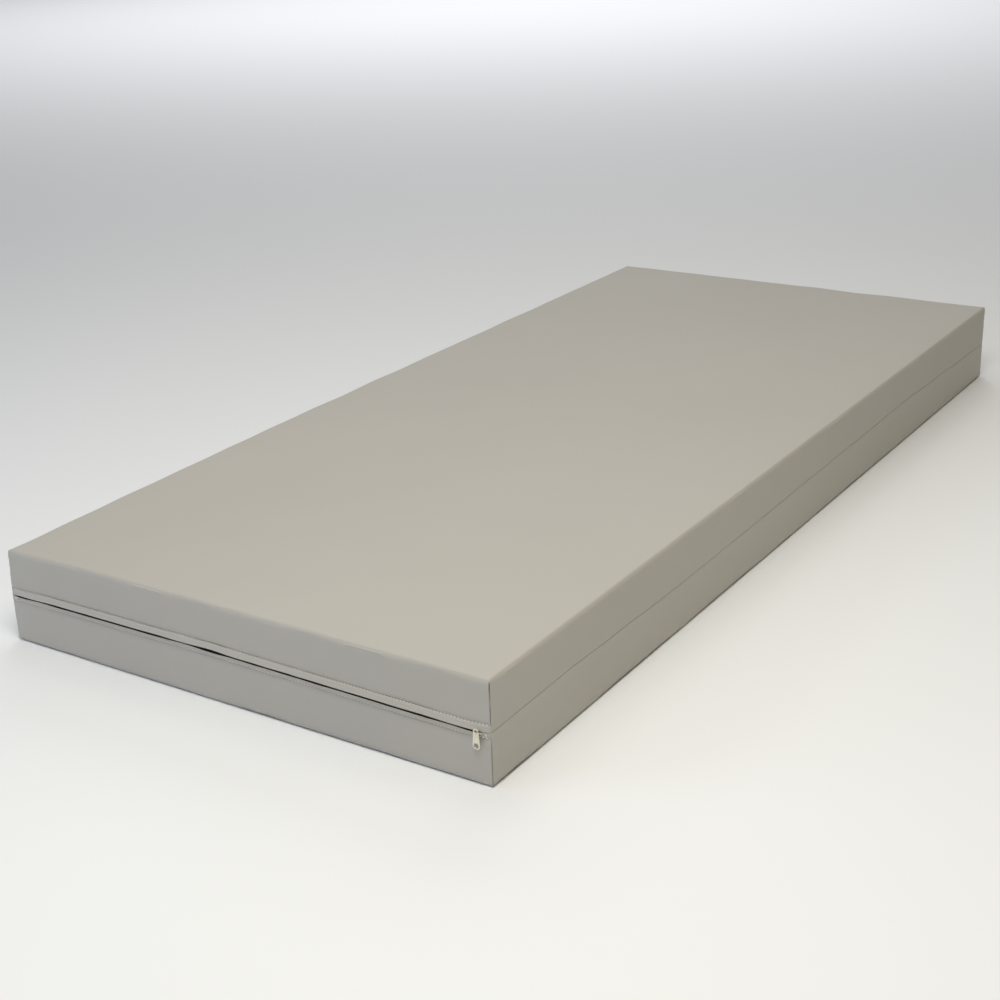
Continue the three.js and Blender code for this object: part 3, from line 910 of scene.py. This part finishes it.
def one_turn(reach, depth):
    """One turn of the spring, spun about the X axis while it steps along it."""
    bm = bmesh.new()
    ring = bmesh.ops.create_circle(bm, cap_ends=False, segments=5, radius=COIL_WIRE)["verts"]
    bmesh.ops.translate(bm, vec=(reach / 2 - COIL_WIRE, 0, 0), verts=ring)
    bmesh.ops.rotate(bm, matrix=Matrix.Rotation(math.radians(90), 3, "X"), verts=ring)
    bmesh.ops.rotate(bm, matrix=Matrix.Rotation(math.radians(90), 3, "Y"), verts=ring)
    bmesh.ops.rotate(bm, matrix=Matrix.Rotation(math.radians(90), 3, "X"), verts=ring)
    bmesh.ops.spin(
        bm,
        geom=bm.verts[:] + bm.edges[:],
        cent=(0, 0, 0),
        axis=(1, 0, 0),
        dvec=(COIL_PITCH / TURN_STEPS, 0, 0),
        angle=2 * math.pi,
        steps=TURN_STEPS,
        use_merge=False,
    )
    bmesh.ops.scale(bm, vec=(1, depth / reach, 1), verts=bm.verts)
    mesh = bpy.data.meshes.new("turn")
    bm.to_mesh(mesh)
    bm.free()
    return mesh


def wind_coil(name, node, side):
    """One half of the coil: a flattened spring whose turns reach a little past the slot's middle."""
    low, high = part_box(node)
    outer = max(abs(low.z - SEAM_HEIGHT), abs(high.z - SEAM_HEIGHT))
    reach = outer + COIL_PAST_MIDDLE
    turns = int((high.x - low.x) / COIL_PITCH) - 1
    turn = one_turn(reach, high.y - low.y)
    start = low.x + COIL_START[side] * COIL_PITCH
    middle = SEAM_HEIGHT + side * (outer - reach / 2)
    bm = bmesh.new()
    for count in range(turns):
        place = (start + count * COIL_PITCH, (low.y + high.y) / 2, middle)
        stamp(bm, turn, Matrix.Translation(place))
    bmesh.ops.remove_doubles(bm, verts=bm.verts, dist=0.002 * MM)
    bmesh.ops.holes_fill(bm, edges=[e for e in bm.edges if e.is_boundary], sides=8)
    bmesh.ops.recalc_face_normals(bm, faces=bm.faces)
    for vert in bm.verts:
        vert.co.z += zip_drift(vert.co.x)
    make_piece(bm, name, coil_painted_shade, "mattress", [node], ALL_SMOOTH)


wind_coil("upper_coil", "zip_coil_upper", UPPER)
wind_coil("lower_coil", "zip_coil_lower", LOWER)


# %% Tapes and stops
TAPE_SHORT = 8 * MM
TAPE_THICK = 0.5 * MM
TAPE_BEHIND = 0.6 * MM
TAPE_PARTS = 60


def lay_tape(name, node):
    """A thin flat strip behind one half of the coil."""
    low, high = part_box(node)
    coil_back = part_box("zip_coil_upper")[1].y
    bm = bmesh.new()
    bmesh.ops.create_cube(bm, size=1)
    size = (high.x - low.x - TAPE_SHORT, TAPE_THICK, high.z - low.z)
    bmesh.ops.scale(bm, vec=size, verts=bm.verts)
    bmesh.ops.translate(bm, vec=(0, coil_back + TAPE_BEHIND, (low.z + high.z) / 2), verts=bm.verts)
    for i in range(1, TAPE_PARTS):
        cut_loop(bm, 0, low.x + (high.x - low.x) * i / TAPE_PARTS)
    for vert in bm.verts:
        vert.co.z += zip_drift(vert.co.x)
    make_piece(bm, name, tape_painted_shade, "mattress", [node])


def refinish(nodes, material):
    """Gives frame nodes that keep their shape a better material."""
    for node in nodes:
        for material_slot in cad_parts[node].material_slots:
            material_slot.material = material


lay_tape("upper_tape", "zip_tape_upper")
lay_tape("lower_tape", "zip_tape_lower")
refinish(["zip_stop_left", "zip_stop_right"], zip_metal)

# %% [markdown]
# ## Slider and pull
#
# A zip slider is a zinc casting: two plates joined by a wedge, with an arch on the front for the pull.
# The pull is a flat casting, with a small eye at the top, a sunk panel down the middle and a ring to
# hold at the bottom. The arch is a bar that is extruded straight and spun round each bend.
# The pull's outline is the hull of two discs, and its holes are cut with discs too.


# %% Casting helpers
def rounded_block(bm, low, high, corner):
    """A block between two corners of space, with the edges that run front to back rounded."""
    made = bmesh.ops.create_cube(bm, size=1)["verts"]
    bmesh.ops.scale(bm, vec=high - low, verts=made)
    bmesh.ops.translate(bm, vec=(low + high) / 2, verts=made)
    through = []
    for one in {e for v in made for e in v.link_edges}:
        run = one.verts[1].co - one.verts[0].co
        if abs(run.y) > NEARLY_ALL * run.length:
            through.append(one)
    bmesh.ops.bevel(
        bm, geom=through, offset=corner, segments=4, profile=0.5, affect="EDGES", material=-1
    )


def disc(bm, x, z, radius, y_front, y_back, segments=32):
    """A short round bar between two depths."""
    turn = Matrix.Rotation(math.radians(90), 4, "X")
    shift = Matrix.Translation((x, (y_front + y_back) / 2, z))
    return bmesh.ops.create_cone(
        bm,
        cap_ends=True,
        segments=segments,
        radius1=radius,
        radius2=radius,
        depth=y_back - y_front,
        matrix=shift @ turn,
    )["verts"]


def wrap(bm):
    """Turns a few discs into the one smooth shape that a band round them would have."""
    bmesh.ops.delete(bm, geom=bm.edges[:] + bm.faces[:], context="EDGES_FACES")
    hull = bmesh.ops.convex_hull(bm, input=bm.verts[:], use_existing_faces=False)
    inner = [item for item in hull["geom_interior"] if isinstance(item, bmesh.types.BMVert)]
    bmesh.ops.delete(bm, geom=inner, context="VERTS")
    bmesh.ops.dissolve_limit(
        bm, angle_limit=math.radians(1), verts=bm.verts[:], edges=bm.edges[:]
    )


def cut_away(piece_bm, cutter_bm):
    """Returns the first shape with the second cut out of it."""
    objects = []
    for label, shape in (("blank", piece_bm), ("cutter", cutter_bm)):
        mesh = bpy.data.meshes.new(label)
        shape.to_mesh(mesh)
        shape.free()
        objects.append(bpy.data.objects.new(label, mesh))
        scene.collection.objects.link(objects[-1])
    blank, cutter = objects
    cut = blank.modifiers.new("cut", "BOOLEAN")
    cut.operation = "DIFFERENCE"
    cut.solver = "EXACT"
    cut.object = cutter
    bpy.context.view_layer.update()
    result = bmesh.new()
    result.from_object(blank, bpy.context.evaluated_depsgraph_get())
    for item in objects:
        mesh = item.data
        bpy.data.objects.remove(item)
        bpy.data.meshes.remove(mesh)
    return result


def soften(piece, width):
    """A bevel on every edge that turns sharply, as tumbled castings have."""
    bevel = piece.modifiers.new("tumbled edges", "BEVEL")
    bevel.width = width
    bevel.segments = 3
    bevel.limit_method = "ANGLE"
    bevel.angle_limit = math.radians(35)
    bevel.use_clamp_overlap = True


# %% The slider
slider_low, slider_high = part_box("zip_slider")
pull_low, pull_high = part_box("zip_pull")
PLATE = 1.2 * MM
ARCH_SIZE = 1.3 * MM
ARCH_RUN = 10.5 * MM
ARCH_BEND = 1.5 * MM
ARCH_FRONT = slider_low.y
WEDGE_HALF_LENGTH = 3.5 * MM
WEDGE_HALF_HEIGHT = 0.5 * MM
slider_middle = (slider_low.x + slider_high.x) / 2
coil_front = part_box("zip_coil_upper")[0].y
front_plate = coil_front - 0.4 * MM - PLATE


def arch_bar(bm):
    """A bar out of the front plate, across, and back in, with rounded bends."""
    foot = front_plate + PLATE / 2
    left = slider_middle - ARCH_RUN / 2 + ARCH_SIZE / 2
    right = slider_middle + ARCH_RUN / 2 - ARCH_SIZE / 2
    outer = ARCH_FRONT + ARCH_SIZE / 2
    turn = Matrix.Rotation(math.radians(90), 4, "X")
    start = bmesh.ops.create_circle(
        bm,
        cap_ends=True,
        segments=10,
        radius=ARCH_SIZE / 2,
        matrix=Matrix.Translation((left, foot, SEAM_HEIGHT)) @ turn,
    )["verts"]
    face = start[0].link_faces[0]

    def straight(face, step):
        made = bmesh.ops.extrude_discrete_faces(bm, faces=[face])["faces"][0]
        bmesh.ops.translate(bm, vec=step, verts=made.verts)
        return made

    def bent(face, centre, angle):
        turned = bmesh.ops.spin(
            bm,
            geom=[face] + list(face.edges) + list(face.verts),
            cent=centre,
            axis=(0, 0, 1),
            angle=angle,
            steps=6,
            use_merge=False,
        )["geom_last"]
        return next(item for item in turned if isinstance(item, bmesh.types.BMFace))

    quarter = math.pi / 2
    face = straight(face, Vector((0, outer + ARCH_BEND - foot, 0)))
    face = bent(face, (left + ARCH_BEND, outer + ARCH_BEND, SEAM_HEIGHT), quarter)
    face = straight(face, Vector((right - left - 2 * ARCH_BEND, 0, 0)))
    face = bent(face, (right - ARCH_BEND, outer + ARCH_BEND, SEAM_HEIGHT), quarter)
    straight(face, Vector((0, foot - outer - ARCH_BEND, 0)))


def build_slider():
    bm = bmesh.new()
    half = slider_high.z - SEAM_HEIGHT
    corner = half * 0.55
    low = Vector((slider_low.x, front_plate, SEAM_HEIGHT - half))
    high = Vector((slider_high.x, front_plate + PLATE, SEAM_HEIGHT + half))
    rounded_block(bm, low, high, corner)
    back_shift = Vector((0, slider_high.y - PLATE - front_plate, 0))
    rounded_block(bm, low + back_shift, high + back_shift, corner)
    front, back = front_plate + PLATE / 2, slider_high.y - PLATE / 2
    wedge_low = Vector((slider_middle - WEDGE_HALF_LENGTH, front, SEAM_HEIGHT - WEDGE_HALF_HEIGHT))
    wedge_high = Vector((slider_middle + WEDGE_HALF_LENGTH, back, SEAM_HEIGHT + WEDGE_HALF_HEIGHT))
    rounded_block(bm, wedge_low, wedge_high, 0.4 * MM)
    arch_bar(bm)
    bmesh.ops.recalc_face_normals(bm, faces=bm.faces)
    piece = make_piece(bm, "slider_casting", zip_metal, "slider", ["zip_slider"])
    soften(piece, 0.22 * MM)


build_slider()

# %% The pull
EYE_REACH = 4.2 * MM
RING_REACH = (pull_high.x - pull_low.x) / 2
EYE_HOLE = 2.2 * MM
RING_HOLE = 3.7 * MM
PANEL_SINK = 0.6 * MM
PANEL_TOP, PANEL_BOTTOM = 1.5 * MM, 2.2 * MM
pull_middle = (pull_low.x + pull_high.x) / 2
eye_height = pull_high.z - EYE_REACH
ring_height = pull_low.z + RING_REACH


def build_pull():
    front, back = pull_low.y, pull_high.y
    blank = bmesh.new()
    disc(blank, pull_middle, eye_height, EYE_REACH, front, back)
    disc(blank, pull_middle, ring_height, RING_REACH, front, back, 40)
    wrap(blank)
    holes = bmesh.new()
    margin = 1 * MM
    disc(holes, pull_middle, eye_height, EYE_HOLE, front - margin, back + margin)
    disc(holes, pull_middle, ring_height, RING_HOLE, front - margin, back + margin)
    shape = cut_away(blank, holes)
    panel = bmesh.new()
    top = eye_height - EYE_HOLE - 2.4 * MM
    bottom = ring_height + RING_HOLE + 3.0 * MM
    disc(panel, pull_middle, top, PANEL_TOP, front - margin, front + PANEL_SINK)
    disc(panel, pull_middle, bottom, PANEL_BOTTOM, front - margin, front + PANEL_SINK)
    wrap(panel)
    shape = cut_away(shape, panel)
    bmesh.ops.remove_doubles(shape, verts=shape.verts, dist=1e-6)
    bmesh.ops.recalc_face_normals(shape, faces=shape.faces)
    piece = make_piece(shape, "pull_tab", zip_metal, "pull", ["zip_pull"])
    soften(piece, 0.35 * MM)


build_pull()

# %% [markdown]
# ## The foam core
#
# Nobody sees the foam while the cover is shut, but the zip is there to take it out. A high-resilience
# base carries two firm side walls, and a softer relief layer between them is cut into blocks so that
# each gives way by itself. The blocks are faces of one slab, inset a little and pushed up.


# %% Foam slabs
def foam_slab(name, node, material, slack, rim):
    """A slab that fills its node's box, less a little slack, with soft rims."""
    low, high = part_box(node)
    bm = bmesh.new()
    bmesh.ops.create_cube(bm, size=1)
    size = high - low - Vector((2 * slack, 2 * slack, 2 * slack))
    bmesh.ops.scale(bm, vec=size, verts=bm.verts)
    bmesh.ops.translate(bm, vec=(low + high) / 2, verts=bm.verts)
    bmesh.ops.bevel(
        bm, geom=bm.edges[:], offset=rim, segments=3, profile=0.5, affect="EDGES", material=-1
    )
    piece = make_piece(bm, name, material, "mattress", [node])


FOAM_SLACK = 3.4 * MM
foam_slab("base_slab", "foam_base", base_foam, FOAM_SLACK, 6 * MM)
foam_slab("left_side_slab", "foam_side_left", side_foam, FOAM_SLACK, 8 * MM)
foam_slab("right_side_slab", "foam_side_right", side_foam, FOAM_SLACK, 8 * MM)


# %% The relief layer
BLOCKS_ACROSS = 7
BLOCKS_ALONG = 17
GROOVE = 6 * MM
GROOVE_DROP = 45 * MM


def build_relief_layer():
    low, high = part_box("foam_relief_layer")
    low = low + Vector((1, 1, 1)) * FOAM_SLACK
    high = high - Vector((1, 1, 1)) * FOAM_SLACK
    bm = bmesh.new()
    bmesh.ops.create_cube(bm, size=1)
    size = high - low
    sheet = size.z - GROOVE_DROP
    bmesh.ops.scale(bm, vec=(size.x, size.y, sheet), verts=bm.verts)
    bmesh.ops.translate(bm, vec=(0, (low.y + high.y) / 2, low.z + sheet / 2), verts=bm.verts)
    for i in range(1, BLOCKS_ACROSS):
        cut_loop(bm, 0, -size.x / 2 + size.x * i / BLOCKS_ACROSS)
    for i in range(1, BLOCKS_ALONG):
        cut_loop(bm, 1, low.y + size.y * i / BLOCKS_ALONG)
    tops = [f for f in bm.faces if f.normal.z > 0.9]
    bmesh.ops.inset_individual(bm, faces=tops, thickness=GROOVE / 2, depth=0)
    raised = bmesh.ops.extrude_discrete_faces(bm, faces=tops)["faces"]
    for face in raised:
        bmesh.ops.translate(bm, vec=(0, 0, GROOVE_DROP), verts=face.verts)
    crowns = list({e for f in raised for e in f.edges})
    bmesh.ops.bevel(
        bm, geom=crowns, offset=3 * MM, segments=2, profile=0.5, affect="EDGES", material=-1
    )
    nodes = ["foam_relief_layer"]
    piece = make_piece(bm, "relief_slab", relief_foam, "mattress", nodes)


build_relief_layer()

# %% [markdown]
# ## Floor and light
#
# The floor is plain and pale. Large square lamps keep every shadow soft. The key lights the lying
# surface from above the foot end, the left lamp is cool and the right one weak and warm, so the two
# walls differ in tone, and the high lamp hangs over the middle. The back lamp is for the floor behind.
# A light's three numbers are its colour and power together.

# %% Floor
floor_bm = bmesh.new()
bmesh.ops.create_grid(floor_bm, x_segments=2, y_segments=2, size=30)
floor_mesh = bpy.data.meshes.new("floor")
floor_bm.to_mesh(floor_mesh)
floor_bm.free()
floor = bpy.data.objects.new("floor", floor_mesh)
scene.collection.objects.link(floor)
floor_paint, _, floor_shader = new_material("floor", 0.9, specular=0.1)
floor_shader.inputs["Base Color"].default_value = (0.87, 0.885, 0.91, 1)
floor_mesh.materials.append(floor_paint)

# %% Light
scene.view_settings.view_transform = "Standard"
world = bpy.data.worlds.new("studio")
scene.world = world
world.use_nodes = True
sky = world.node_tree.nodes["Background"]
SKY_LIGHT = (0.15, 0.15, 0.15)
KEY_LIGHT = (51, 49, 43.5)
LEFT_LIGHT = (21.5, 26, 34)
RIGHT_LIGHT = (9, 7, 3)
HIGH_LIGHT = (21, 20, 17.5)
BACK_LIGHT = (540, 540, 540)


def tint_and_power(light):
    """A light's colour with its strongest part at 1, and its power."""
    power = max(light)
    return [part / power for part in light], power


sky_tint, sky_power = tint_and_power(SKY_LIGHT)
sky.inputs["Color"].default_value = sky_tint + [1]
sky.inputs["Strength"].default_value = sky_power


def soft_light(name, place, target, size, light):
    """A large square lamp that faces a point."""
    data = bpy.data.lights.new(name, "AREA")
    data.size = size
    data.color, data.energy = tint_and_power(light)
    lamp = bpy.data.objects.new(name, data)
    lamp.location = place
    facing = Vector(target) - Vector(place)
    lamp.rotation_mode = "QUATERNION"
    lamp.rotation_quaternion = facing.to_track_quat("-Z", "Y")
    scene.collection.objects.link(lamp)


soft_light("key", place=(0.9, -1.7, 2.6), target=(0.2, -0.6, 0.1), size=1.4, light=KEY_LIGHT)
soft_light("left", place=(-2.6, -3.2, 1.3), target=(-0.2, -1.0, 0.1), size=2.0, light=LEFT_LIGHT)
soft_light("right", place=(3.6, 0.6, 1.1), target=(0.45, 0.0, 0.1), size=2.4, light=RIGHT_LIGHT)
soft_light("high", place=(-0.3, 0.2, 3.2), target=(0, 0, 0), size=2.2, light=HIGH_LIGHT)
soft_light("back", place=(-5.5, 8.5, 5.5), target=(-5.5, 8.5, 0), size=9.0, light=BACK_LIGHT)
print("lights:", len(bpy.data.lights))
